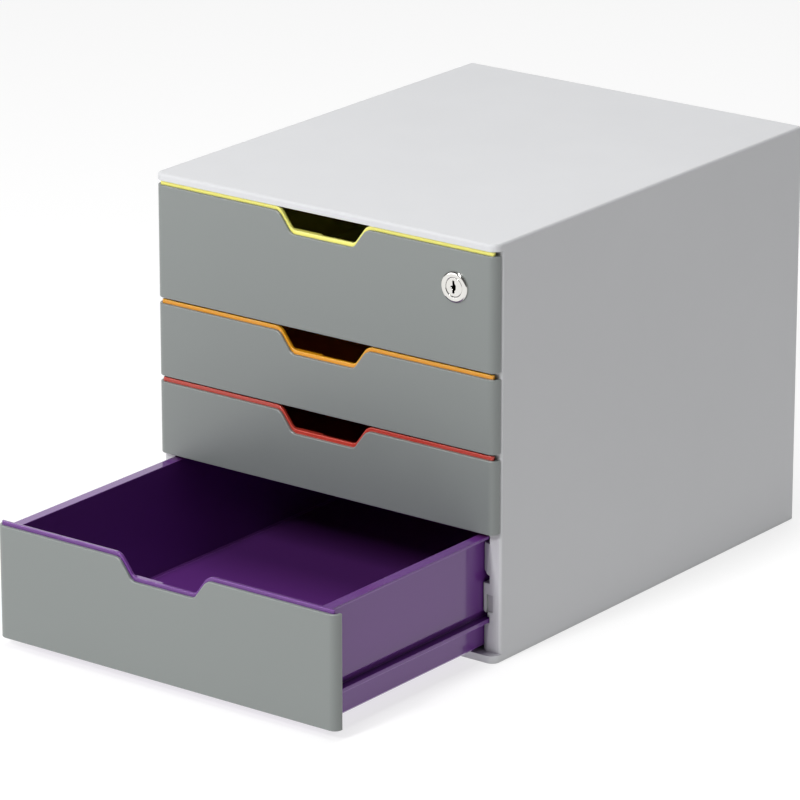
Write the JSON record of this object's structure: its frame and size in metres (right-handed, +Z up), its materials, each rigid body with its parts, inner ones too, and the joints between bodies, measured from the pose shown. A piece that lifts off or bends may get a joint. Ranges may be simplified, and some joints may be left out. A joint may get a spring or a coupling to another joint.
{
  "type": "desktop file drawer unit",
  "caption": "Desktop file drawer unit: grey moulded housing with side guides, coloured pull-out trays behind grey fronts with finger cut-outs, and a cam lock in the top drawer.",
  "frame": {"origin": "centre of the housing's footprint, on the plane that it stands on", "axes": "+X to the right seen from the front, +Y to the back, +Z up"},
  "size_m": [0.284, 0.526, 0.2875],
  "materials": {
    "housing_grey": "satin moulded plastic",
    "front_grey": "satin moulded plastic",
    "tray_yellow": "semi-gloss moulded plastic",
    "tray_orange": "semi-gloss moulded plastic",
    "tray_red": "semi-gloss moulded plastic",
    "tray_purple": "semi-gloss moulded plastic",
    "back_board": "plain sheet",
    "clip_grey": "satin moulded plastic",
    "foot_rubber": "matt",
    "lock_metal": "polished",
    "steel": "zinc plated"
  },
  "bodies": {
    "housing": {"back_panel": "back_board", "back_screw_1": "steel", "back_screw_2": "steel", "back_screw_3": "steel", "back_screw_4": "steel", "foot_front_left": "foot_rubber", "foot_front_right": "foot_rubber", "foot_rear_left": "foot_rubber", "foot_rear_right": "foot_rubber", "housing_shell": "housing_grey", "left_guide": "housing_grey", "left_stop_clip_1": "clip_grey", "left_stop_clip_2": "clip_grey", "left_stop_clip_3": "clip_grey", "left_stop_clip_4": "clip_grey", "lock_strike": "steel", "right_guide": "housing_grey", "right_stop_clip_1": "clip_grey", "right_stop_clip_2": "clip_grey", "right_stop_clip_3": "clip_grey", "right_stop_clip_4": "clip_grey", "strike_screw": "steel"},
    "drawer1": {"drawer1_tray": "tray_yellow", "drawer1_front": "front_grey", "lock_barrel": "lock_metal", "lock_nut": "steel"},
    "drawer2": {"drawer2_tray": "tray_orange", "drawer2_front": "front_grey"},
    "drawer3": {"drawer3_tray": "tray_red", "drawer3_front": "front_grey"},
    "drawer4": {"drawer4_tray": "tray_purple", "drawer4_front": "front_grey"},
    "lock": {"lock_plug": "lock_metal", "lock_cam": "steel", "cam_screw": "steel"}
  },
  "joints": [
    {"name": "drawer1_slide", "type": "slide", "parent": "housing", "child": "drawer1", "axis": [0, -1, 0], "range_m": [0, 0.29]},
    {"name": "drawer2_slide", "type": "slide", "parent": "housing", "child": "drawer2", "axis": [0, -1, 0], "range_m": [0, 0.29]},
    {"name": "drawer3_slide", "type": "slide", "parent": "housing", "child": "drawer3", "axis": [0, -1, 0], "range_m": [0, 0.29]},
    {"name": "drawer4_slide", "type": "slide", "parent": "housing", "child": "drawer4", "axis": [0, -1, 0], "range_m": [-0.168, 0.122]},
    {"name": "lock_turn", "type": "hinge", "parent": "drawer1", "child": "lock", "pos_m": [0.109, -0.179, 0.254], "axis": [0, 1, 0], "range_deg": [0, 90]}
  ]
}
